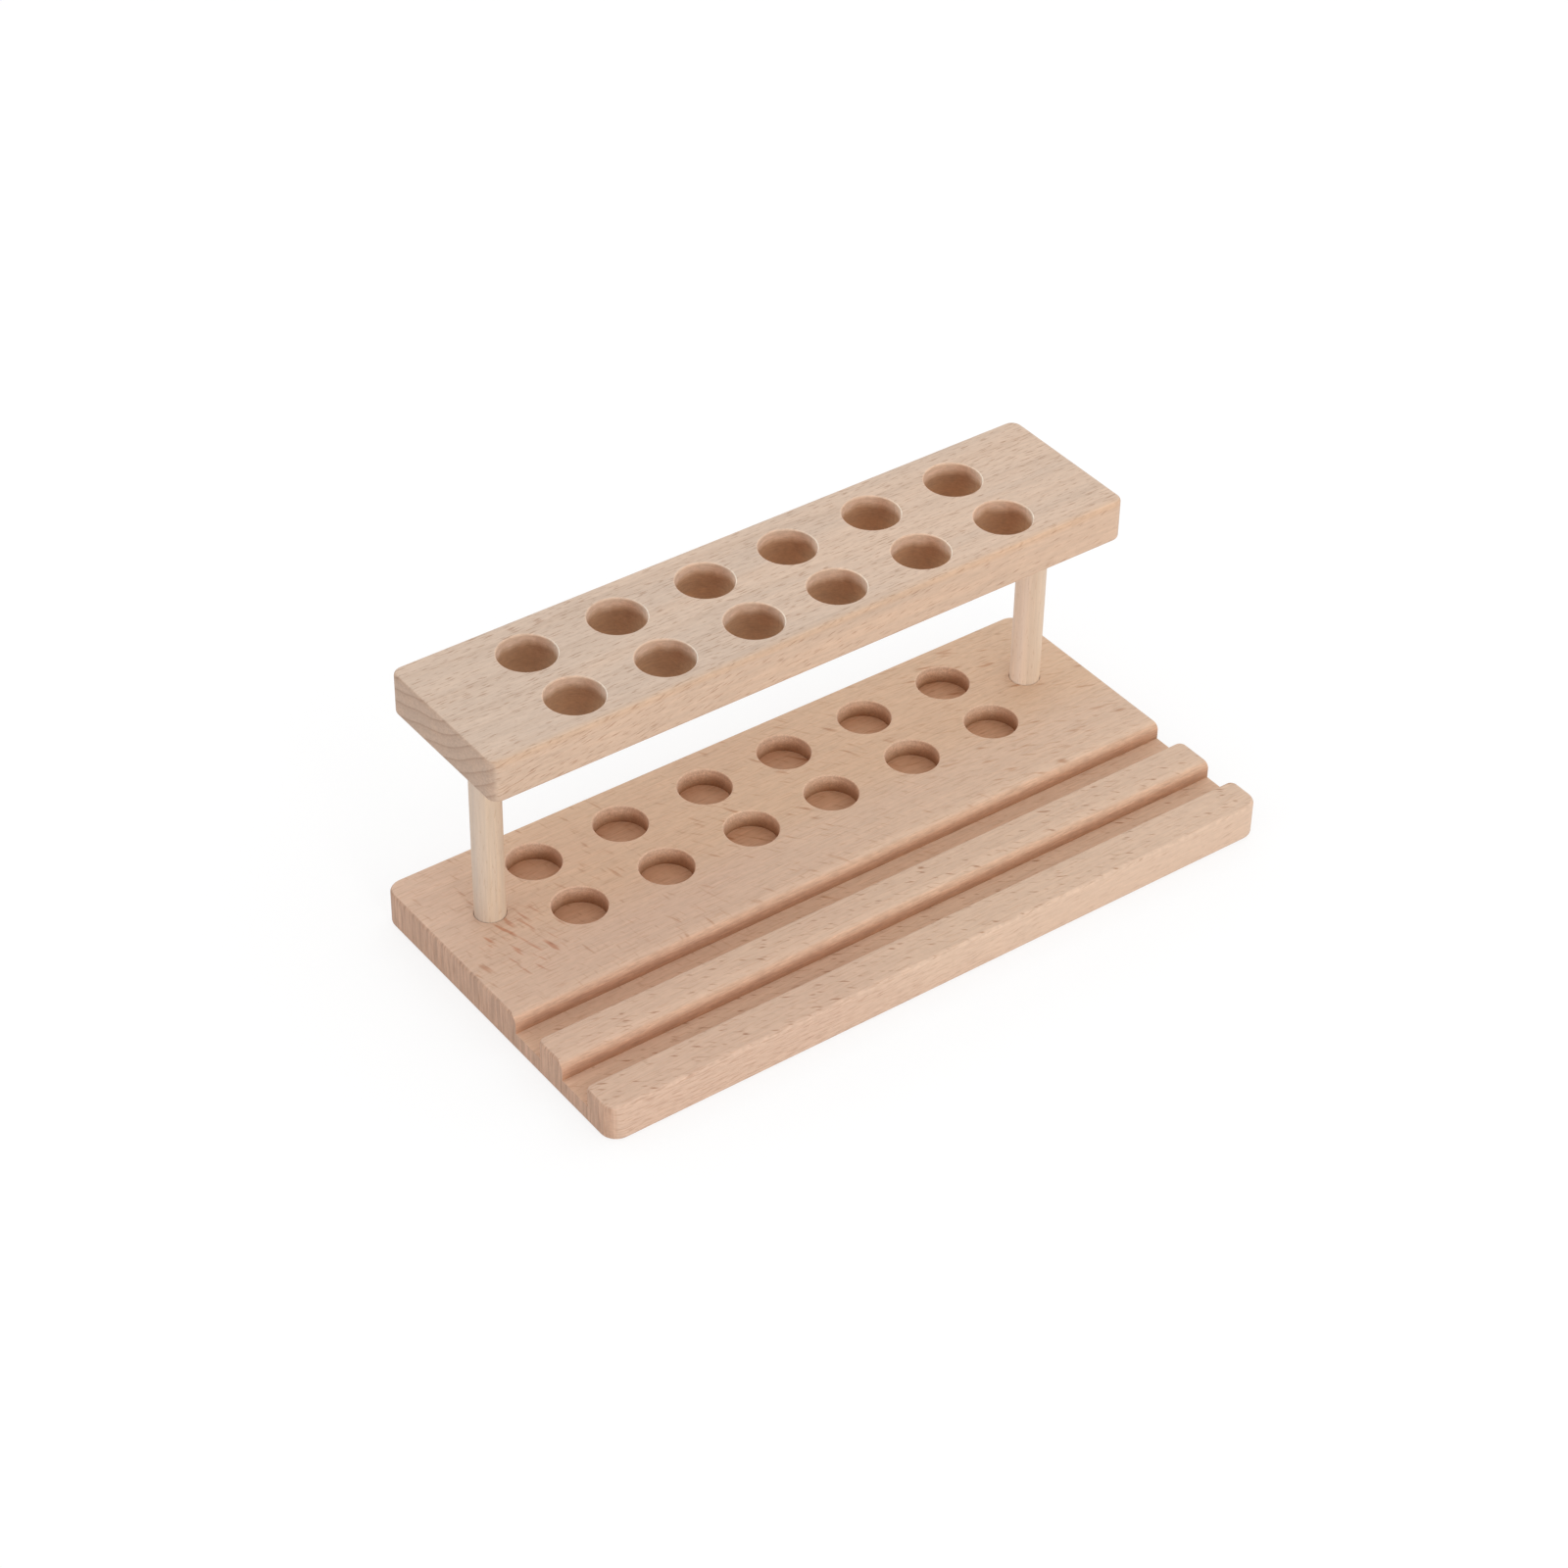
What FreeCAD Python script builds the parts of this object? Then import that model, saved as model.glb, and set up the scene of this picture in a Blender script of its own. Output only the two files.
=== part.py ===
"""Wooden tool rack: a grooved base board, two dowel posts and a drilled shelf board.

Millimetres. X runs along the length, the grooves are at the front (-Y), Z is up.
The origin is the centre of the base board's underside.
"""
import FreeCAD, Part
import math
import os
from FreeCAD import Vector

# Base board
BASE_LENGTH = 200.0
BASE_DEPTH = 100.0
BASE_THICKNESS = 10.5
BASE_CORNER_RADIUS = 4.5

# Tool grooves along the front of the base, counted from the front edge backwards
GROOVE_COUNT = 2
RAIL_WIDTH = 11.1
GROOVE_WIDTH = 9.1
RIB_WIDTH = 10.9
GROOVE_DEPTH = 5.2
GROOVE_END_RADIUS = 2.0
SHOULDER_WIDTH = 3.8
SHOULDER_DROP = 2.4

# Shelf board
SHELF_THICKNESS = 12.0
SHELF_CORNER_RADIUS = 3.0
SHELF_END_SETBACK = 5.0
SHELF_BACK_SETBACK = 0.5
SHELF_HEADROOM = 52.5

# Tool holes: through the shelf, with a shallow pocket below each one in the base
SHELF_HOLE_DIAMETER = 15.0
POCKET_DIAMETER = 14.2
POCKET_DEPTH = 5.2
ROW_PITCH = 20.5
COLUMN_PITCH = 26.0
MIDDLE_PITCH = 25.0
WALL_BEHIND_HOLES = 5.6
WALL_BEFORE_HOLES = 3.9
POST_TO_HOLE_LEAST = 19.0

# Dowel posts and the blind sockets that hold them
POST_DIAMETER = 8.0
POST_END_INSET = 11.0
POST_CHAMFER = 0.5
BASE_SOCKET_DEPTH = 7.0
SHELF_SOCKET_DEPTH = 7.0
SOCKET_CLEARANCE = 0.15

# Softened edges
EDGE_RADIUS = 1.0
RIM_RADIUS = 0.5

# How far a cutting tool stands out of the board that it cuts
OVERCUT = 2.0

# How near an edge must be to a line or level to count as lying on it
SNAP = 0.01

# Heights
base_top = BASE_THICKNESS
groove_floor = base_top - GROOVE_DEPTH
shelf_bottom = base_top + SHELF_HEADROOM
shelf_top = shelf_bottom + SHELF_THICKNESS

# Shelf outline and hole rows, stepped forward from the base's back edge
shelf_length = BASE_LENGTH - 2 * SHELF_END_SETBACK
shelf_back = BASE_DEPTH / 2 - SHELF_BACK_SETBACK
back_row = shelf_back - WALL_BEHIND_HOLES - SHELF_HOLE_DIAMETER / 2
front_row = back_row - ROW_PITCH
shelf_front = front_row - SHELF_HOLE_DIAMETER / 2 - WALL_BEFORE_HOLES

# Posts stand midway between the two rows, near the shelf's ends
post_x = shelf_length / 2 - POST_END_INSET
post_y = (back_row + front_row) / 2
socket_radius = POST_DIAMETER / 2 + SOCKET_CLEARANCE


def rounded_board(length, span, heights, radii, soft_levels):
    """A board with rounded corners in plan, its edges softened on the given levels.

    The span is its front and back, the heights are its bottom and top, and the radii are those of
    its front and back corners, 0 for sharp ones.
    """
    front, back = span
    bottom, top = heights
    board = Part.makeBox(length, back - front, top - bottom, Vector(-length / 2, front, bottom))
    for y, radius in zip(span, radii):
        upright = [e for e in board.Edges if e.BoundBox.ZLength > EDGE_RADIUS]
        if radius:
            board = board.makeFillet(radius, [e for e in upright if abs(e.CenterOfMass.y - y) < SNAP])
    level = [e for e in board.Edges if any(abs(e.BoundBox.Center.z - z) < SNAP for z in soft_levels)]
    return board.makeFillet(EDGE_RADIUS, level)


def arc_edge(centre, radius, start, end):
    """An arc from start to end, by the short way round its centre."""
    middle = (start - centre) + (end - centre)
    middle.normalize()
    return Part.Arc(start, centre + middle * radius, end).toShape()


def line_edge(start, end):
    return Part.LineSegment(start, end).toShape()


def shoulder_cutter(back):
    """What is cut off along a groove's back edge, leaving a quarter of an ellipse."""
    x = -BASE_LENGTH / 2 - OVERCUT
    wall = Vector(x, back, base_top - SHOULDER_DROP)
    brow = Vector(x, back + SHOULDER_WIDTH, base_top)
    brow_above = Vector(x, brow.y, base_top + OVERCUT)
    groove_above = Vector(x, back - OVERCUT, brow_above.z)
    groove_low = Vector(x, groove_above.y, wall.z)
    ellipse = Part.Ellipse(wall, brow, Vector(x, brow.y, wall.z))
    section = Part.Wire([
        ellipse.toShape(0, math.pi / 2),
        line_edge(brow, brow_above),
        line_edge(brow_above, groove_above),
        line_edge(groove_above, groove_low),
        line_edge(groove_low, wall),
    ])
    return Part.Face(section).extrude(Vector(BASE_LENGTH + 2 * OVERCUT, 0, 0))


def hole_cutter(radius, floor, top):
    """A round cutter with its end at floor, flared at top so that it leaves a softened rim."""
    centre = Vector(0, 0, floor)
    wall_low = Vector(radius, 0, floor)
    wall_high = Vector(radius, 0, top - RIM_RADIUS)
    rim = Vector(radius + RIM_RADIUS, 0, top)
    rim_above = Vector(rim.x, 0, top + OVERCUT)
    centre_above = Vector(0, 0, top + OVERCUT)
    section = Part.Wire([
        line_edge(centre, wall_low),
        line_edge(wall_low, wall_high),
        arc_edge(Vector(rim.x, 0, wall_high.z), RIM_RADIUS, wall_high, rim),
        line_edge(rim, rim_above),
        line_edge(rim_above, centre_above),
        line_edge(centre_above, centre),
    ])
    return Part.Face(section).revolve(Vector(0, 0, 0), Vector(0, 0, 1), 360)


def hole_places():
    """Plan positions of the tool holes: two rows of columns mirrored about the middle."""
    reach = post_x - POST_TO_HOLE_LEAST - MIDDLE_PITCH / 2
    columns = int(reach // COLUMN_PITCH) + 1
    offsets = [MIDDLE_PITCH / 2 + k * COLUMN_PITCH for k in range(columns)]
    return [(side * x, y) for y in (back_row, front_row) for side in (-1, 1) for x in offsets]


def copies_at(cutter, places):
    """The cutter repeated at each plan position."""
    copies = []
    for x, y in places:
        copy = cutter.copy()
        copy.translate(Vector(x, y, 0))
        copies.append(copy)
    return copies


def post_places():
    return [(-post_x, post_y), (post_x, post_y)]


def raised_strip(front, back, front_radius, back_radius):
    """A strip of the base that stands on the level of the groove floors."""
    heights = (groove_floor, base_top)
    return rounded_board(BASE_LENGTH, (front, back), heights, (front_radius, back_radius), [base_top])


def make_base_board():
    """A slab as high as the groove floors, with the rail, the ribs and the deck standing on it."""
    front = -BASE_DEPTH / 2
    back = BASE_DEPTH / 2
    corner = BASE_CORNER_RADIUS
    slab = rounded_board(BASE_LENGTH, (front, back), (0, groove_floor), (corner, corner), [0])
    strips = [raised_strip(front, front + RAIL_WIDTH, corner, GROOVE_END_RADIUS)]
    cutters = []
    for k in range(GROOVE_COUNT):
        groove_back = front + RAIL_WIDTH + GROOVE_WIDTH + k * (RIB_WIDTH + GROOVE_WIDTH)
        is_deck = k == GROOVE_COUNT - 1
        strip_back = back if is_deck else groove_back + RIB_WIDTH
        back_radius = corner if is_deck else GROOVE_END_RADIUS
        strips.append(raised_strip(groove_back, strip_back, 0, back_radius))
        cutters.append(shoulder_cutter(groove_back))
    board = slab.fuse(strips).removeSplitter()
    pocket = hole_cutter(POCKET_DIAMETER / 2, base_top - POCKET_DEPTH, base_top)
    cutters += copies_at(pocket, hole_places())
    socket = Part.makeCylinder(
        socket_radius, BASE_SOCKET_DEPTH + OVERCUT, Vector(0, 0, base_top - BASE_SOCKET_DEPTH)
    )
    cutters += copies_at(socket, post_places())
    return board.cut(cutters)


def make_shelf_board():
    span = (shelf_front, shelf_back)
    heights = (shelf_bottom, shelf_top)
    corners = (SHELF_CORNER_RADIUS, SHELF_CORNER_RADIUS)
    board = rounded_board(shelf_length, span, heights, corners, heights)
    hole = hole_cutter(SHELF_HOLE_DIAMETER / 2, shelf_bottom - OVERCUT, shelf_top)
    cutters = copies_at(hole, hole_places())
    socket = Part.makeCylinder(
        socket_radius, SHELF_SOCKET_DEPTH + OVERCUT, Vector(0, 0, shelf_bottom - OVERCUT)
    )
    cutters += copies_at(socket, post_places())
    return board.cut(cutters)


def make_post(place):
    """A dowel that stands on the base socket's floor and reaches the shelf socket's end."""
    x, y = place
    length = BASE_SOCKET_DEPTH + SHELF_HEADROOM + SHELF_SOCKET_DEPTH
    foot = Vector(x, y, base_top - BASE_SOCKET_DEPTH)
    post = Part.makeCylinder(POST_DIAMETER / 2, length, foot)
    rims = [e for e in post.Edges if e.BoundBox.ZLength < POST_CHAMFER]
    return post.makeChamfer(POST_CHAMFER, rims)


def export(node, shape):
    """Write one node and print what it measures."""
    solid = shape.Solids[0]
    print(node, len(shape.Solids), "solid, valid", solid.isValid(), "volume", round(solid.Volume, 2))
    solid.exportStep("parts/" + node + ".step")


os.makedirs("parts", exist_ok=True)
left_place, right_place = post_places()
export("base_board", make_base_board())
export("left_post", make_post(left_place))
export("right_post", make_post(right_place))
export("shelf_board", make_shelf_board())
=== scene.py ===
"""Looks of the wooden tool rack: beech boards, birch posts, floor, light and camera."""
import bpy
import math
from collections import namedtuple
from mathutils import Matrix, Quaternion, Vector


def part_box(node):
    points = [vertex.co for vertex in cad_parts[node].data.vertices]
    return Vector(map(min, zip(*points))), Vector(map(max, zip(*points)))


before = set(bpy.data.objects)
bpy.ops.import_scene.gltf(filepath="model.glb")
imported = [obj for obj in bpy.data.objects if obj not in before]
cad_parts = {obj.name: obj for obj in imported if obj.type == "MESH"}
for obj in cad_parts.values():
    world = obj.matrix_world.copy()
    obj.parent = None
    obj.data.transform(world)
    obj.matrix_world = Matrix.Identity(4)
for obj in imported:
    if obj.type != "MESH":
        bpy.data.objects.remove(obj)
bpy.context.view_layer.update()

# Camera, as the photograph sees the rack: lengths in metres, angles in degrees
VIEW_TARGET = Vector((-0.010062, 0.005917, 0.030))
VIEW_DISTANCE = 0.952654
VIEW_AZIMUTH = -36.7762
VIEW_ELEVATION = 38.4719
VIEW_ROLL = 1.0769
LENS_MM = 88.405
SENSOR_MM = 36.0

# Floor and light: lengths in metres, heights in the sky as the sine of the elevation
FLOOR_SIZE = 8.0
FLOOR_WHITE = 0.85
FLOOR_GLOW = 0.75
SKY_STRENGTH = 1.28
SKY_LEAN = 0.16
SKY_FADE = (0.55, 1.0)
SKY_TOP_STRENGTH = 0.62
KEY_PLACE = Vector((-0.23, -1.3, 0.34))
KEY_SIZE = 0.34
KEY_POWER = 4.0

# Sizes in the wood materials are in millimetres
MM_PER_METRE = 1000.0
BUMP_METRES_PER_MM = 0.001
WOOD_SPECULAR = 0.35

# Colours of the woods
BASE_BEECH = (0.645, 0.465, 0.342)
BASE_BEECH_PINK = (0.612, 0.425, 0.314)
SHELF_BEECH = (0.645, 0.478, 0.362)
SHELF_BEECH_PALE = (0.60, 0.46, 0.36)
POST_BIRCH = (0.58, 0.45, 0.34)
POST_BIRCH_DEEP = (0.61, 0.465, 0.34)

# Colours of marks and faces, as shares of the wood's colour
RAY_FLECK = (0.79, 0.52, 0.40)
BROWN_FLECK = (0.73, 0.56, 0.45)
GREY_FLECK = (0.78, 0.69, 0.63)
STRIP_FLECK = (0.60, 0.45, 0.36)
FINE_DASH = (0.70, 0.60, 0.54)
PORE = (0.86, 0.78, 0.73)
LATE_WOOD = (0.80, 0.75, 0.71)
END_THREAD = (0.78, 0.71, 0.66)
# Painted shade and warm bounce light on the deck under the shelf
UNDER_SHELF_SHADE = (0.99, 0.95, 0.88)
# Sides and ends darker than the top: at the ends partly darker end grain, the rest painted shade set
# face by face
BASE_SIDE = (0.93, 0.92, 0.92)
BASE_END = (0.75, 0.67, 0.63)
SHELF_SIDE = (0.88, 0.83, 0.785)
SHELF_END = (0.74, 0.68, 0.65)
SHELF_FRONT_EDGE = (0.985, 0.93, 0.865)
# Painted shade: a cooler tone on each post's left side
POST_LEFT_COOL_SHADE = (0.97, 1.0, 1.075)
# Pocket floors darker: partly painted shade in the pockets, partly rougher drilled wood
POCKET_FLOOR_SHADE = (1.0, 0.87, 0.79)
GROOVE_FLOOR = (1.06, 0.99, 0.93)
# Painted shade on cut walls that face left, painted light on walls as they turn right and on walls that
# face left and back
LEFT_WALL_SHADE = (0.85, 0.74, 0.68)
RIGHT_WALL_LIGHT = (1.29, 1.45, 1.58)
NEAR_WALL_LIGHT = (1.5, 2.0, 2.4)

# Shares of the wood's colour down a cut wall, by the depth: painted shade that deepens into the cut,
# partly darker milled and drilled wood
GROOVE_WALL_SHADE = (
    (0.0, (1.0, 0.97, 0.95)),
    (0.7, (0.94, 0.86, 0.80)),
    (2.2, (0.86, 0.72, 0.64)),
    (3.6, (0.82, 0.66, 0.57)),
    (5.2, (0.73, 0.55, 0.43)),
)
POCKET_WALL_SHADE = (
    (0.0, (0.92, 0.88, 0.85)),
    (1.6, (0.94, 0.86, 0.80)),
    (2.4, (0.83, 0.71, 0.62)),
    (3.4, (0.68, 0.53, 0.42)),
    (5.2, (0.48, 0.31, 0.19)),
)
HOLE_WALL_SHADE = (
    (0.0, (0.90, 0.84, 0.79)),
    (1.9, (0.90, 0.79, 0.73)),
    (2.6, (0.77, 0.64, 0.54)),
    (3.8, (0.60, 0.43, 0.31)),
    (6.0, (0.65, 0.465, 0.325)),
)

# Fields of noise in the wood: blobs for each millimetre along three directions, detail and roughness.
# Over a plane, the third of the rates is a seed.
Figure = namedtuple("Figure", "rates detail roughness")
MOTTLE = Figure((0.6, 0.8, 0.8), 2.0, 0.5)
# A noise that moves the painted shade and scorched wood of the cut walls up and down
SCORCH_AND_SHADE = Figure((0.25, 0.25, 0.1), 2.0, 0.5)
BASE_CLOUD = Figure((0.02, 0.05, 0.05), 1.0, 0.5)
BASE_YEARS = Figure((0.004, 0.22, 0.01), 1.0, 0.5)
BASE_FIBRES = Figure((0.11, 1.6, 1.6), 2.0, 0.6)
BASE_GATHER = Figure((0.03, 0.06, 4.0), 1.0, 0.5)
FRONT_WAVES = Figure((0.05, 0.08, 7.0), 2.0, 0.5)
END_STRIPES = Figure((0.9, 0.05, 5.0), 3.0, 0.65)
POCKET_SPECKLE = Figure((1.8, 2.2, 2.2), 2.0, 0.7)
GROOVE_SPECKLE = Figure((0.3, 2.4, 2.4), 2.0, 0.7)
# Patches that break up the painted highlight along the groove walls' top edge
BROW_HIGHLIGHT_PATCHES = Figure((0.12, 0.1, 9.0), 1.0, 0.5)
SHELF_CLOUD = Figure((0.012, 0.09, 0.2), 2.0, 0.5)
SHELF_FIBRES = Figure((0.12, 1.6, 1.6), 2.0, 0.6)
SHELF_GATHER = Figure((0.02, 0.08, 2.0), 1.0, 0.5)
RING_WANDER = Figure((0.012, 0.05, 0.05), 1.0, 0.5)
END_RAYS = Figure((1.0, 1.0, 0.05), 2.0, 0.6)
HOLE_SPECKLE = Figure((0.6, 0.6, 2.6), 2.0, 0.7)
POST_FIBRES = Figure((2.2, 2.2, 0.08), 2.0, 0.6)
POST_BANDS = Figure((0.5, 0.5, 0.02), 1.0, 0.5)
POST_TICKS = Figure((3.0, 3.0, 0.45), 1.0, 0.5)

# Marks in the wood: length and width, degrees from the grain, the level that their noise has to pass,
# where a lower one gives more marks, and the seed of the noise
Mark = namedtuple("Mark", "length width turn cut seed")
BOLD_FLECK = Mark(4.6, 0.95, 0.0, 0.61, 3.0)
SMALL_FLECK = Mark(2.4, 0.6, 0.0, 0.60, 11.0)
STRIP_DASH = Mark(2.4, 0.55, -30.0, 0.60, 17.0)
BASE_PORE = Mark(3.2, 0.26, 0.0, 0.52, 21.0)
FRONT_LINE = Mark(2.6, 0.24, 0.0, 0.48, 31.0)
FRONT_TICK = Mark(3.0, 0.3, 8.0, 0.58, 33.0)
THREAD = Mark(5.0, 0.3, 0.0, 0.50, 8.0)
SHELF_DASH = Mark(2.1, 0.26, 0.0, 0.54, 2.0)
SHELF_TICK = Mark(2.3, 0.28, 12.0, 0.56, 6.0)

# How many times a mark's size its blob of noise is, and how far above its level a mark is whole
BLOB_PER_MARK = 1.6
MARK_SOFTNESS = 0.2

# Ray flecks on the base: their turns at the left, in the middle and at the right, where along x these
# change, and the middle and reach of the patch where they crowd
FLECK_TURNS = (-75.0, -52.0, -18.0)
FLECKS_LEFT = (-15.0, -55.0)
FLECKS_RIGHT = (20.0, 60.0)
FLECK_PATCH = (-84.0, 13.0)
FLECK_PATCH_REACH = 17.0

# What is added to the noise of flecks, dashes and ticks in the patch, where they gather and along x,
# and the share of it for small flecks
PATCH_PUSH = 0.09
FLECK_GATHER_PUSH = 0.16
FLECK_PUSH_PER_MM = 0.00028
SMALL_FLECK_PUSH = 0.5
DASH_GATHER_PUSH = 0.15
TICK_PUSH_PER_MM = -0.0004

# Growth rings of the shelf: how their height falls with y and bends, how far they wander, the width of
# a year, and the parts of a year that darken it slowly, that draw its line and that end it
RING_TILT = 0.777
RING_BEND = 0.00533
RING_WANDER_HEIGHT = 4.0
RING_WIDTH = 3.6
YEAR_SLOW = (0.2, 0.95)
YEAR_SLOW_SHARE = 0.4
YEAR_LINE = (0.75, 0.93)
YEAR_LINE_SHARE = 0.6
YEAR_END = (1.0, 0.94)

# Rays at the shelf's ends: how fast they change along y and z, along the ray and across it
RAY_ALONG = (1.2, 1.9)
RAY_ACROSS = (0.9, 1.4)

# How the faces of a board or post are told apart: by the distance from the board's outline, and by
# the part of their normal along an axis
OUTLINE_BAND = (2.0, 1.5)
TURNED_TO_END = (0.05, 0.2)
END_NORMAL = (0.4, 0.8)
FLAT_NORMAL = (0.75, 0.95)
ROUND_OFF_WALL = (0.1, 0.5)
ROUND_OFF_FLAT = (0.995, 0.9)
LEFT_WALL_NORMAL = (-0.55, -1.0)
RIGHT_WALL_NORMAL = (-0.7, 0.4)
NEAR_WALL_LEFT = (-0.2, -0.6)
NEAR_WALL_BACK = (-0.65, 0.5)
POST_LEFT_NORMAL = (-0.4, -0.9)

# Where parts of the woods begin and are whole, along x and y, in height and in depth
GROOVED_Y = (-4.0, -6.0)
STRIPS_Y = (-10.0, -16.0)
UNDER_SHELF_X = (-95.0, -65.0)
UNDER_SHELF_Y = (2.0, 20.0)
LIT_PATCH_X = (-40.0, -80.0)
LIT_PATCH_Y = (20.0, 42.0)
CUT_FLOOR_DEPTH = (0.6, 2.0)
CUT_FLOOR_HEIGHT = (0.5, 2.0)
BROW_TOP = (0.3, 0.6)
BROW_FOOT = (1.2, 0.8)
FRONT_EDGE_BAND = (2.5, 0.5)
POCKET_LEFT_DEPTH = (6.0, 2.5)
POCKET_RIGHT_DEPTH = (2.0, 4.0)
HOLE_LEFT_DEPTH = (9.0, 3.0)
HOLE_RIGHT_DEPTH = (0.0, 4.0)
RIGHT_POST_X = (-50.0, 50.0)

# Levels at which a noise turns from one colour to the other, or from no mark to a mark
CLOUD_EDGE = (0.3, 0.7)
BROW_EDGE = (0.35, 0.6)
WEAR_AND_HIGHLIGHT_EDGE = (0.4, 0.6)
POST_BAND_EDGE = (0.35, 0.65)
POST_TICK_EDGE = (0.62, 0.74)

# The two colours of a board: how they follow the clouds, and how they change along x
BASE_CLOUD_SHARE = 0.6
BASE_CLOUD_START = 0.3
BASE_CLOUD_PER_MM = 0.003
SHELF_CLOUD_PER_MM = 0.0015

# How far a noise swings the brightness, from its darkest to its brightest
BASE_YEARS_SWING = 0.12
BASE_FIBRES_SWING = 0.28
BASE_MOTTLE_SWING = 0.14
END_STRIPES_SWING = 1.1
CUT_SPECKLE_SWING = 0.7
SHELF_CLOUD_SWING = 0.12
SHELF_FIBRES_SWING = 0.34
SHELF_MOTTLE_SWING = 0.12
END_RAYS_SWING = 0.45
HOLE_SPECKLE_SWING = 0.45
POST_FIBRES_SWING = 0.3

# How much a place is lightened, or darkened where it is taken away: painted light on the deck's back
# left and on the right post, painted highlights on the groove tops, edges and rims, partly pale fibres
# and wear at the groove tops and edges, and painted shade on the posts' left side
DECK_BACK_LEFT_LIGHT = 0.06
BROW_HIGHLIGHT = 0.12
BASE_EDGE_WEAR_AND_HIGHLIGHT = 0.06
BASE_RIM_HIGHLIGHT = 0.13
SHELF_EDGE_WEAR_AND_HIGHLIGHT = 0.05
SHELF_RIM_HIGHLIGHT = 0.15
RIGHT_POST_LIGHT = 0.08
RIGHT_POST_LEFT_LIGHT = 0.27
POST_LEFT_SHADE = 0.03

# How strong marks are, from 0 to 1
BOLD_FLECK_STRENGTH = 0.9
SMALL_FLECK_STRENGTH = 0.7
PORE_STRENGTH = 0.7
FRONT_LINE_STRENGTH = 0.6
THREAD_STRENGTH = 0.8
TOP_RING_STRENGTH = 0.35
SHELF_DASH_STRENGTH = 0.9

# Lines on the front: how far waves lift them, and the part of the way to the left end where they,
# coming in from the right end, are whole
FRONT_WAVE_HEIGHT = 2.4
FRONT_LINES_REACH = 0.8

# How far a noise moves the painted shade and the partly scorched wood up and down a wall
POCKET_SCORCH_AND_SHADE_SWING = 2.0
HOLE_SCORCH_AND_SHADE_SWING = 3.0

# Roughness of the woods, and what fibres, cut walls and flecks change in it
BASE_ROUGHNESS = 0.58
SHELF_ROUGHNESS = 0.6
POST_ROUGHNESS = 0.55
BOARD_FIBRES_ROUGHNESS = 0.25
POST_FIBRES_ROUGHNESS = 0.2
CUT_ROUGHNESS = 0.2
FLECK_POLISH = 0.1

# Relief: how high fibres, mottle and speckle stand, and how deep marks lie
FIBRES_HEIGHT = 0.03
POST_FIBRES_HEIGHT = 0.02
MOTTLE_HEIGHT = 0.01
CUT_SPECKLE_HEIGHT = 0.12
HOLE_SPECKLE_HEIGHT = 0.06
SMALL_FLECK_DEPTH = 0.01
STRIP_DASH_DEPTH = 0.02
FRONT_LINE_DEPTH = 0.03
SHELF_DASH_DEPTH = 0.04
POST_TICK_DEPTH = 0.01


class Num:
    """A number that a node gives, which takes part in sums as a plain number does."""

    def __init__(self, graph, socket):
        self.graph = graph
        self.socket = socket

    def __add__(self, other):
        return self.graph.math("ADD", self, other)

    def __radd__(self, other):
        return self.graph.math("ADD", other, self)

    def __sub__(self, other):
        return self.graph.math("SUBTRACT", self, other)

    def __rsub__(self, other):
        return self.graph.math("SUBTRACT", other, self)

    def __mul__(self, other):
        return self.graph.math("MULTIPLY", self, other)

    def __rmul__(self, other):
        return self.graph.math("MULTIPLY", other, self)

    def __truediv__(self, other):
        return self.graph.math("DIVIDE", self, other)

    def __abs__(self):
        return self.graph.math("ABSOLUTE", self)

    def step(self, low, high):
        """Goes smoothly from 0 at low to 1 at high, whichever of the two is larger."""
        node = self.graph.add("ShaderNodeMapRange", interpolation_type="SMOOTHSTEP")
        self.graph.feed(node.inputs["Value"], self)
        node.inputs["From Min"].default_value = low
        node.inputs["From Max"].default_value = high
        return Num(self.graph, node.outputs["Result"])

    def swing(self, amount):
        """Goes from half of amount below 0 to half of it above 0, as a noise goes from 0 to 1."""
        return (self - 0.5) * amount


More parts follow.
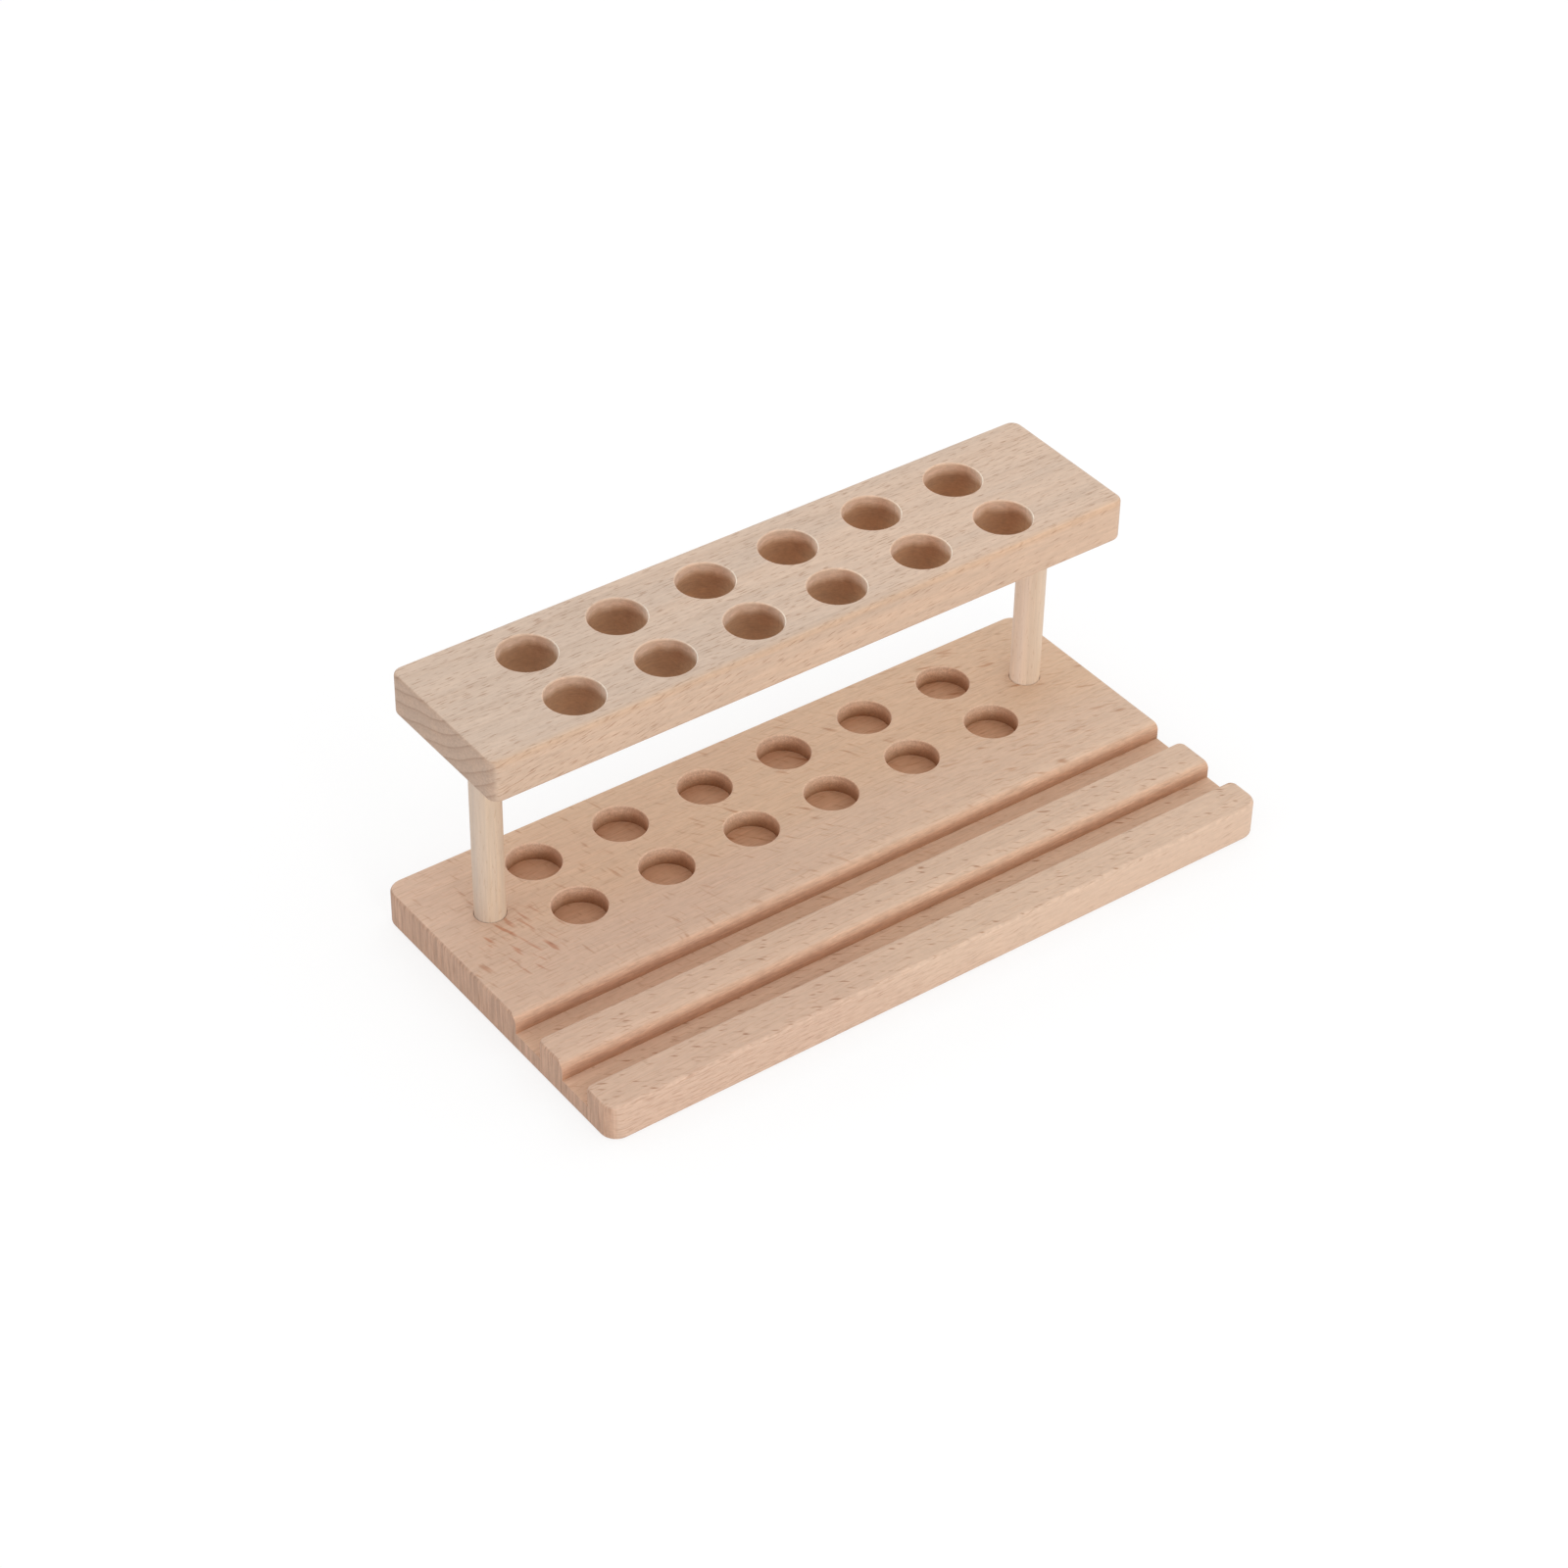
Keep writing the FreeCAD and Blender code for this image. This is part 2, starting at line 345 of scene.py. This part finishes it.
class Graph:
    """The nodes of a material or of the world, with a short way to add each kind that is used."""

    def __init__(self, owner):
        owner.use_nodes = True
        self.owner = owner
        self.tree = owner.node_tree
        self.tree.nodes.clear()

    def add(self, kind, **settings):
        node = self.tree.nodes.new(kind)
        for setting, value in settings.items():
            setattr(node, setting, value)
        return node

    def feed(self, socket, value):
        """Link a number or a socket into the socket, or set a plain value on it."""
        if isinstance(value, Num):
            value = value.socket
        if isinstance(value, bpy.types.NodeSocket):
            self.tree.links.new(value, socket)
        else:
            socket.default_value = value

    def math(self, operation, *values):
        node = self.add("ShaderNodeMath", operation=operation)
        for socket, value in zip(node.inputs, values):
            self.feed(socket, value)
        return Num(self, node.outputs[0])

    def split(self, vector):
        node = self.add("ShaderNodeSeparateXYZ")
        self.feed(node.inputs[0], vector)
        return [Num(self, socket) for socket in node.outputs]

    def join(self, x, y, z):
        node = self.add("ShaderNodeCombineXYZ")
        for socket, value in zip(node.inputs, (x, y, z)):
            self.feed(socket, value)
        return node.outputs[0]

    def place(self):
        """Position on the board in millimetres."""
        x, y, z = self.split(self.add("ShaderNodeTexCoord").outputs["Object"])
        return x * MM_PER_METRE, y * MM_PER_METRE, z * MM_PER_METRE

    def normal(self):
        """The way that the surface faces, along the board's own axes."""
        return self.split(self.add("ShaderNodeTexCoord").outputs["Normal"])

    def noise(self, x, y, z, detail, roughness):
        """Soft noise from 0 to 1, with about one blob for each unit of x, y and z."""
        node = self.add("ShaderNodeTexNoise")
        self.feed(node.inputs["Vector"], self.join(x, y, z))
        node.inputs["Scale"].default_value = 1.0
        node.inputs["Detail"].default_value = detail
        node.inputs["Roughness"].default_value = roughness
        return Num(self, node.outputs[0])

    def figure(self, place, figure):
        """Noise over a place, as the figure says. A place in a plane has 1 for its third number."""
        x, y, z = (number * rate for number, rate in zip(place, figure.rates))
        return self.noise(x, y, z, figure.detail, figure.roughness)

    def strokes(self, u, v, mark, push=0.0):
        """Soft marks in the plane of u, along the grain, and v, more of them where push is above 0."""
        cosine, sine = math.cos(math.radians(mark.turn)), math.sin(math.radians(mark.turn))
        along = (u * cosine + v * sine) / (BLOB_PER_MARK * mark.length)
        across = (v * cosine - u * sine) / (BLOB_PER_MARK * mark.width)
        level = self.noise(along, across, mark.seed, detail=1.0, roughness=0.5) + push
        return level.step(mark.cut, mark.cut + MARK_SOFTNESS)

    def rings(self, place, width):
        """Years of growth across place: each darkens slowly and ends at a thin line of 1."""
        year = self.math("FRACT", place / width)
        dark = year.step(*YEAR_SLOW) * YEAR_SLOW_SHARE + year.step(*YEAR_LINE) * YEAR_LINE_SHARE
        return dark * year.step(*YEAR_END)

    def tint(self, colour, share, amount):
        """The colour times share where amount is 1, and as it was where amount is 0."""
        node = self.add("ShaderNodeMix", data_type="RGBA", blend_type="MULTIPLY")
        self.feed(node.inputs["Factor"], amount)
        self.feed(node.inputs["A"], colour)
        self.feed(node.inputs["B"], share if isinstance(share, bpy.types.NodeSocket) else (*share, 1.0))
        return node.outputs["Result"]

    def blend(self, first, second, amount):
        """The first colour where amount is 0, and the second where it is 1."""
        node = self.add("ShaderNodeMix", data_type="RGBA")
        self.feed(node.inputs["Factor"], amount)
        self.feed(node.inputs["A"], (*first, 1.0))
        self.feed(node.inputs["B"], (*second, 1.0))
        return node.outputs["Result"]

    def lighten(self, colour, amount):
        """The colour times 1 plus amount, which may be below 0."""
        node = self.add("ShaderNodeVectorMath", operation="SCALE")
        self.feed(node.inputs[0], colour)
        self.feed(node.inputs["Scale"], 1.0 + amount)
        return node.outputs[0]

    def ramp(self, value, stops):
        """A colour that goes through the stops, each the value that it belongs to and the colour."""
        first, last = stops[0][0], stops[-1][0]
        node = self.add("ShaderNodeValToRGB")
        marks = node.color_ramp.elements
        while len(marks) < len(stops):
            marks.new(1.0)
        for mark, (at, colour) in zip(marks, stops):
            mark.position = (at - first) / (last - first)
            mark.color = (*colour, 1.0)
        self.feed(node.inputs[0], (value - first) / (last - first))
        return node.outputs[0]

    def finish(self, colour, roughness, height):
        """Close the material with a matt wood surface and its relief in millimetres."""
        shader = self.add("ShaderNodeBsdfPrincipled")
        shader.inputs["Specular IOR Level"].default_value = WOOD_SPECULAR
        bump = self.add("ShaderNodeBump")
        bump.inputs["Distance"].default_value = BUMP_METRES_PER_MM
        self.feed(bump.inputs["Height"], height)
        self.feed(shader.inputs["Normal"], bump.outputs[0])
        self.feed(shader.inputs["Base Color"], colour)
        self.feed(shader.inputs["Roughness"], roughness)
        output = self.add("ShaderNodeOutputMaterial")
        self.feed(output.inputs["Surface"], shader.outputs[0])
        return self.owner


class Faces:
    """Masks that pick out a board's flat faces, ends, sides, cut walls, rounded edges and hole rims.

    Of the cut walls, left_walls are those that face left, right_walls come in as they turn from left
    to right, and near_walls are those that face left and back.
    """

    def __init__(self, g, x, y, low, high):
        nx, ny, nz = g.normal()
        middle, half = (low + high) / 2, (high - low) / 2
        outer_band, inner_band = OUTLINE_BAND
        near_end = abs(x - middle.x).step(half.x - outer_band, half.x - inner_band)
        near_end = near_end * abs(nx).step(*TURNED_TO_END)
        near_side = abs(y - middle.y).step(half.y - outer_band, half.y - inner_band)
        outer = g.math("MAXIMUM", near_end, near_side)
        rounded = abs(nz).step(*ROUND_OFF_WALL) * abs(nz).step(*ROUND_OFF_FLAT)
        self.flat = abs(nz).step(*FLAT_NORMAL)
        self.ends = outer * abs(nx).step(*END_NORMAL)
        self.sides = outer * (1.0 - self.flat) * (1.0 - self.ends)
        self.walls = (1.0 - outer) * (1.0 - self.flat)
        self.edges = outer * rounded
        self.rims = (1.0 - outer) * rounded
        self.left_walls = self.walls * nx.step(*LEFT_WALL_NORMAL)
        self.right_walls = self.walls * nx.step(*RIGHT_WALL_NORMAL)
        self.near_walls = self.walls * nx.step(*NEAR_WALL_LEFT) * ny.step(*NEAR_WALL_BACK)


def ray_flecks(g, x, y, mark, push):
    """Flecks on the base's top, steep to the grain at the left and nearly along it at the right."""
    left = x.step(*FLECKS_LEFT)
    right = x.step(*FLECKS_RIGHT)
    shares = (left, 1.0 - left - right, right)
    flecks = 0.0
    for turn, share in zip(FLECK_TURNS, shares):
        flecks = flecks + g.strokes(x, y, mark._replace(turn=turn), push) * share
    return flecks


def fleck_patch(x, y):
    """1 in the middle of the patch where the flecks crowd, and 0 outside it."""
    along, across = x - FLECK_PATCH[0], y - FLECK_PATCH[1]
    return (along * along + across * across).step(FLECK_PATCH_REACH ** 2, 0.0)


def base_wood():
    """Quarter-sawn beech: ray flecks on top, upright stripes at the ends, cuts darkened by painted
    shade and partly by darker milled wood.
    """
    g = Graph(bpy.data.materials.new("base_beech"))
    place = g.place()
    x, y, z = place
    low, high = (v * MM_PER_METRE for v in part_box("base_board"))
    face = Faces(g, x, y, low, high)
    depth = high.z - z
    grooved = y.step(*GROOVED_Y)
    strips = y.step(*STRIPS_Y)
    floors = face.flat * depth.step(*CUT_FLOOR_DEPTH) * z.step(*CUT_FLOOR_HEIGHT)

    cloud = g.figure(place, BASE_CLOUD)
    years = g.figure(place, BASE_YEARS)
    fibres = g.figure(place, BASE_FIBRES)
    mottle = g.figure(place, MOTTLE)
    gather = g.figure((x, y, 1.0), BASE_GATHER)
    patch = fleck_patch(x, y)
    push = patch * PATCH_PUSH + gather.swing(FLECK_GATHER_PUSH) + x * FLECK_PUSH_PER_MM
    bold = ray_flecks(g, x, y, BOLD_FLECK, push) * face.flat * (1.0 - strips)
    small = ray_flecks(g, x, y, SMALL_FLECK, push * SMALL_FLECK_PUSH) * face.flat * (1.0 - strips)
    dashes = g.strokes(x, y, STRIP_DASH) * face.flat * strips
    pores = g.strokes(x, y, BASE_PORE) * face.flat
    waves = z + g.figure((x, z, 1.0), FRONT_WAVES) * FRONT_WAVE_HEIGHT
    lines = g.strokes(x, waves, FRONT_LINE) * face.sides * x.step(high.x, low.x * FRONT_LINES_REACH)
    lines = lines + g.strokes(x, z, FRONT_TICK) * face.sides
    stripes = g.figure((y, z, 1.0), END_STRIPES)
    threads = g.strokes(z, y, THREAD) * face.ends
    drilled = g.figure(place, POCKET_SPECKLE)
    milled = g.figure(place, GROOVE_SPECKLE)
    speckle = drilled * (1.0 - grooved) + milled * grooved
    # Depth on the cut walls, moved up and down by noise, for the painted shade and scorching
    scorch_and_shade = g.figure(place, SCORCH_AND_SHADE)
    scorch_and_shade_depth = depth + scorch_and_shade.swing(POCKET_SCORCH_AND_SHADE_SWING)
    # Painted highlight, partly pale raised fibres, along the top of each groove wall, in patches
    brow_highlight = depth.step(*BROW_TOP) * depth.step(*BROW_FOOT)
    brow_highlight = brow_highlight * g.figure((x, y, 1.0), BROW_HIGHLIGHT_PATCHES).step(*BROW_EDGE)
    wear_and_highlight = mottle.step(*WEAR_AND_HIGHLIGHT_EDGE)

    warmth = cloud * BASE_CLOUD_SHARE + x * BASE_CLOUD_PER_MM + BASE_CLOUD_START
    colour = g.blend(BASE_BEECH_PINK, BASE_BEECH, warmth.step(*CLOUD_EDGE))
    grain = years.swing(BASE_YEARS_SWING) + fibres.swing(BASE_FIBRES_SWING)
    colour = g.lighten(colour, grain + mottle.swing(BASE_MOTTLE_SWING))
    # Painted shade and warm bounce light on the deck under the shelf
    colour = g.tint(colour, UNDER_SHELF_SHADE, face.flat * y.step(*UNDER_SHELF_Y) * x.step(*UNDER_SHELF_X))
    # Painted light that lifts the deck's back left
    colour = g.lighten(colour, face.flat * y.step(*LIT_PATCH_Y) * x.step(*LIT_PATCH_X) * DECK_BACK_LEFT_LIGHT)
    # Painted shade on the sides and ends, partly darker end grain at the ends
    colour = g.tint(colour, BASE_SIDE, face.sides)
    colour = g.tint(colour, BASE_END, face.ends)
    colour = g.lighten(colour, face.ends * stripes.swing(END_STRIPES_SWING))
    colour = g.tint(colour, END_THREAD, threads * THREAD_STRENGTH)
    colour = g.tint(colour, RAY_FLECK, bold * patch * BOLD_FLECK_STRENGTH)
    colour = g.tint(colour, BROWN_FLECK, bold * (1.0 - patch) * BOLD_FLECK_STRENGTH)
    colour = g.tint(colour, GREY_FLECK, small * SMALL_FLECK_STRENGTH)
    colour = g.tint(colour, STRIP_FLECK, dashes)
    colour = g.tint(colour, PORE, pores * PORE_STRENGTH)
    colour = g.tint(colour, FINE_DASH, lines * FRONT_LINE_STRENGTH)
    # Cut walls darken with depth: painted shade in the cuts, partly darker milled and drilled wood
    colour = g.tint(colour, g.ramp(depth, GROOVE_WALL_SHADE), face.walls * grooved)
    colour = g.tint(colour, g.ramp(scorch_and_shade_depth, POCKET_WALL_SHADE), face.walls * (1.0 - grooved))
    # Painted shade on pocket walls that face left, painted light on deep pocket walls as they turn
    # right
    colour = g.tint(colour, LEFT_WALL_SHADE, face.left_walls * depth.step(*POCKET_LEFT_DEPTH))
    pocket_right_light = face.right_walls * (1.0 - grooved) * depth.step(*POCKET_RIGHT_DEPTH)
    colour = g.tint(colour, RIGHT_WALL_LIGHT, pocket_right_light)
    colour = g.tint(colour, GROOVE_FLOOR, floors * grooved)
    # Painted shade on the pocket floors, partly rougher drilled wood
    colour = g.tint(colour, POCKET_FLOOR_SHADE, floors * (1.0 - grooved))
    # Speckle on the cut walls, plus the painted highlight at the top of the groove walls
    cuts = speckle.swing(CUT_SPECKLE_SWING) + grooved * brow_highlight * BROW_HIGHLIGHT
    colour = g.lighten(colour, face.walls * cuts)
    # Painted highlights on the pocket rims, and on the outer edges in patches, where they are partly
    # wear
    pocket_rims = face.rims * (1.0 - grooved)
    colour = g.lighten(colour, face.edges * wear_and_highlight * BASE_EDGE_WEAR_AND_HIGHLIGHT + pocket_rims * BASE_RIM_HIGHLIGHT)

    roughness = BASE_ROUGHNESS + fibres.swing(BOARD_FIBRES_ROUGHNESS)
    roughness = roughness + face.walls * CUT_ROUGHNESS - bold * FLECK_POLISH
    marks = small * SMALL_FLECK_DEPTH + dashes * STRIP_DASH_DEPTH + lines * FRONT_LINE_DEPTH
    height = fibres * FIBRES_HEIGHT + mottle * MOTTLE_HEIGHT + speckle * face.walls * CUT_SPECKLE_HEIGHT
    return g.finish(colour, roughness, height - marks)


def shelf_wood():
    """Flat-sawn beech: short dark dashes along the grain, slanting growth rings at the ends."""
    g = Graph(bpy.data.materials.new("shelf_beech"))
    place = g.place()
    x, y, z = place
    low, high = (v * MM_PER_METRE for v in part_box("shelf_board"))
    face = Faces(g, x, y, low, high)
    depth = high.z - z
    edge_start, edge_whole = FRONT_EDGE_BAND
    front_edge = y.step(low.y + edge_start, low.y + edge_whole)
    front_edge = front_edge * z.step(high.z - edge_start, high.z - edge_whole)

    cloud = g.figure(place, SHELF_CLOUD)
    fibres = g.figure(place, SHELF_FIBRES)
    mottle = g.figure(place, MOTTLE)
    gather = g.figure((x, y, 1.0), SHELF_GATHER)
    dashes = g.strokes(x, y, SHELF_DASH, gather.swing(DASH_GATHER_PUSH)) * face.flat
    ticks = g.strokes(x, z, SHELF_TICK, x * TICK_PUSH_PER_MM) * face.sides
    wander = g.figure(place, RING_WANDER) * RING_WANDER_HEIGHT
    late = g.rings(z + y * RING_TILT - y * y * RING_BEND + wander, RING_WIDTH)
    ray_along = y * RAY_ALONG[0] + z * RAY_ALONG[1]
    ray_across = z * RAY_ACROSS[1] - y * RAY_ACROSS[0]
    rays = g.figure((ray_along, ray_across, x), END_RAYS)
    speckle = g.figure(place, HOLE_SPECKLE)
    scorch_and_shade = g.figure(place, SCORCH_AND_SHADE)
    scorch_and_shade_depth = depth + scorch_and_shade.swing(HOLE_SCORCH_AND_SHADE_SWING)
    wear_and_highlight = mottle.step(*WEAR_AND_HIGHLIGHT_EDGE)

    warmth = cloud + x * SHELF_CLOUD_PER_MM
    colour = g.blend(SHELF_BEECH_PALE, SHELF_BEECH, warmth.step(*CLOUD_EDGE))
    grain = cloud.swing(SHELF_CLOUD_SWING) + fibres.swing(SHELF_FIBRES_SWING)
    colour = g.lighten(colour, grain + mottle.swing(SHELF_MOTTLE_SWING))
    # Painted shade on the sides and ends, partly darker end grain at the ends
    colour = g.tint(colour, SHELF_SIDE, face.sides)
    colour = g.tint(colour, SHELF_END, face.ends)
    colour = g.tint(colour, SHELF_FRONT_EDGE, front_edge * (1.0 - face.ends))
    colour = g.tint(colour, LATE_WOOD, late * (face.flat * TOP_RING_STRENGTH + face.ends))
    colour = g.lighten(colour, face.ends * rays.swing(END_RAYS_SWING))
    colour = g.tint(colour, FINE_DASH, (dashes + ticks) * SHELF_DASH_STRENGTH)
    # Hole walls darken with depth: painted shade in the holes, partly darker drilled wood
    colour = g.tint(colour, g.ramp(scorch_and_shade_depth, HOLE_WALL_SHADE), face.walls)
    # Painted shade on hole walls that face left, painted light on those that face left and back and on
    # those that turn right
    colour = g.tint(colour, LEFT_WALL_SHADE, face.left_walls * depth.step(*HOLE_LEFT_DEPTH))
    colour = g.tint(colour, NEAR_WALL_LIGHT, face.near_walls)
    colour = g.tint(colour, RIGHT_WALL_LIGHT, face.right_walls * depth.step(*HOLE_RIGHT_DEPTH))
    colour = g.lighten(colour, face.walls * speckle.swing(HOLE_SPECKLE_SWING))
    # Painted highlights on the hole rims, and on the outer edges in patches, where they are partly wear
    colour = g.lighten(colour, face.edges * wear_and_highlight * SHELF_EDGE_WEAR_AND_HIGHLIGHT + face.rims * SHELF_RIM_HIGHLIGHT)

    roughness = SHELF_ROUGHNESS + fibres.swing(BOARD_FIBRES_ROUGHNESS) + face.walls * CUT_ROUGHNESS
    height = fibres * FIBRES_HEIGHT + mottle * MOTTLE_HEIGHT - (dashes + ticks) * SHELF_DASH_DEPTH
    return g.finish(colour, roughness, height + speckle * face.walls * HOLE_SPECKLE_HEIGHT)


def post_wood():
    """Pale birch dowel with faint upright grain; painted light brightens the right post, most on its
    left side, and painted shade dims and cools each post's left side.
    """
    g = Graph(bpy.data.materials.new("post_birch"))
    place = g.place()
    left_side = g.normal()[0].step(*POST_LEFT_NORMAL)
    right_post = place[0].step(*RIGHT_POST_X)
    fibres = g.figure(place, POST_FIBRES)
    bands = g.figure(place, POST_BANDS)
    ticks = g.figure(place, POST_TICKS).step(*POST_TICK_EDGE)
    # Painted light on the right post, most on its left side, and painted shade on each post's left side
    right_post_light = left_side * RIGHT_POST_LEFT_LIGHT + RIGHT_POST_LIGHT
    painted_light = right_post * right_post_light - left_side * POST_LEFT_SHADE
    colour = g.blend(POST_BIRCH, POST_BIRCH_DEEP, bands.step(*POST_BAND_EDGE))
    colour = g.lighten(colour, fibres.swing(POST_FIBRES_SWING) + painted_light)
    colour = g.tint(colour, POST_LEFT_COOL_SHADE, left_side)
    colour = g.tint(colour, PORE, ticks * PORE_STRENGTH)
    roughness = POST_ROUGHNESS + fibres.swing(POST_FIBRES_ROUGHNESS)
    return g.finish(colour, roughness, fibres * POST_FIBRES_HEIGHT - ticks * POST_TICK_DEPTH)


def looked_at(g):
    """1 for rays that show the background: from the camera, by reflection or through glass."""
    path = g.add("ShaderNodeLightPath")
    seen = g.math("MAXIMUM", path.outputs["Is Camera Ray"], path.outputs["Is Glossy Ray"])
    return g.math("MAXIMUM", seen, path.outputs["Is Transmission Ray"])


def make_floor():
    """A pale floor that looks white to the camera and keeps the rack's soft shadow."""
    half = FLOOR_SIZE / 2
    corners = [(-half, -half, 0), (half, -half, 0), (half, half, 0), (-half, half, 0)]
    mesh = bpy.data.meshes.new("floor")
    mesh.from_pydata(corners, [], [(0, 1, 2, 3)])
    g = Graph(bpy.data.materials.new("floor_paper"))
    paper = g.add("ShaderNodeBsdfDiffuse")
    paper.inputs["Color"].default_value = (FLOOR_WHITE, FLOOR_WHITE, FLOOR_WHITE, 1)
    dim = g.add("ShaderNodeBsdfDiffuse")
    dim.inputs["Color"].default_value = (1 - FLOOR_GLOW, 1 - FLOOR_GLOW, 1 - FLOOR_GLOW, 1)
    glow = g.add("ShaderNodeEmission")
    glow.inputs["Strength"].default_value = FLOOR_GLOW
    seen = g.add("ShaderNodeAddShader")
    g.feed(seen.inputs[0], dim.outputs[0])
    g.feed(seen.inputs[1], glow.outputs[0])
    pick = g.add("ShaderNodeMixShader")
    g.feed(pick.inputs[0], looked_at(g))
    g.feed(pick.inputs[1], paper.outputs[0])
    g.feed(pick.inputs[2], seen.outputs[0])
    output = g.add("ShaderNodeOutputMaterial")
    g.feed(output.inputs["Surface"], pick.outputs[0])
    mesh.materials.append(g.owner)
    floor = bpy.data.objects.new("floor", mesh)
    bpy.context.scene.collection.objects.link(floor)


def make_world():
    """Light from all round, stronger at the right and weaker overhead, from a sky that looks white."""
    g = Graph(bpy.data.worlds.new("studio"))
    right, _, height = g.split(g.add("ShaderNodeTexCoord").outputs["Generated"])
    overhead = height.step(*SKY_FADE)
    light = SKY_STRENGTH + right * SKY_LEAN + overhead * (SKY_TOP_STRENGTH - SKY_STRENGTH)
    seen = looked_at(g)
    background = g.add("ShaderNodeBackground")
    background.inputs["Color"].default_value = (1, 1, 1, 1)
    g.feed(background.inputs["Strength"], light * (1.0 - seen) + seen)
    output = g.add("ShaderNodeOutputWorld")
    g.feed(output.inputs["Surface"], background.outputs[0])
    bpy.context.scene.world = g.owner


def make_light():
    """A small soft lamp, low at the front and a little to the left."""
    light = bpy.data.lights.new("key", "AREA")
    light.energy = KEY_POWER
    light.size = KEY_SIZE
    key = bpy.data.objects.new("key", light)
    key.location = KEY_PLACE
    key.rotation_mode = "QUATERNION"
    key.rotation_quaternion = (VIEW_TARGET - KEY_PLACE).to_track_quat("-Z", "Y")
    bpy.context.scene.collection.objects.link(key)


def make_camera():
    """The photograph's camera, which looks at the rack from the front left and above."""
    data = bpy.data.cameras.new("camera")
    data.lens = LENS_MM
    data.sensor_width = SENSOR_MM
    camera = bpy.data.objects.new("camera", data)
    azimuth, elevation = math.radians(VIEW_AZIMUTH), math.radians(VIEW_ELEVATION)
    back = Vector((
        math.sin(azimuth) * math.cos(elevation),
        -math.cos(azimuth) * math.cos(elevation),
        math.sin(elevation),
    ))
    camera.location = VIEW_TARGET + back * VIEW_DISTANCE
    camera.rotation_mode = "QUATERNION"
    roll = Quaternion((0, 0, 1), math.radians(VIEW_ROLL))
    camera.rotation_quaternion = (-back).to_track_quat("-Z", "Y") @ roll
    bpy.context.scene.collection.objects.link(camera)
    bpy.context.scene.camera = camera


def dress(material, *nodes):
    """Give these pieces of the rack that material."""
    for name in nodes:
        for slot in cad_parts[name].material_slots:
            slot.material = material


dress(base_wood(), "base_board")
dress(shelf_wood(), "shelf_board")
dress(post_wood(), "left_post", "right_post")
make_floor()
make_world()
make_light()
make_camera()
bpy.context.scene.view_settings.view_transform = "Standard"
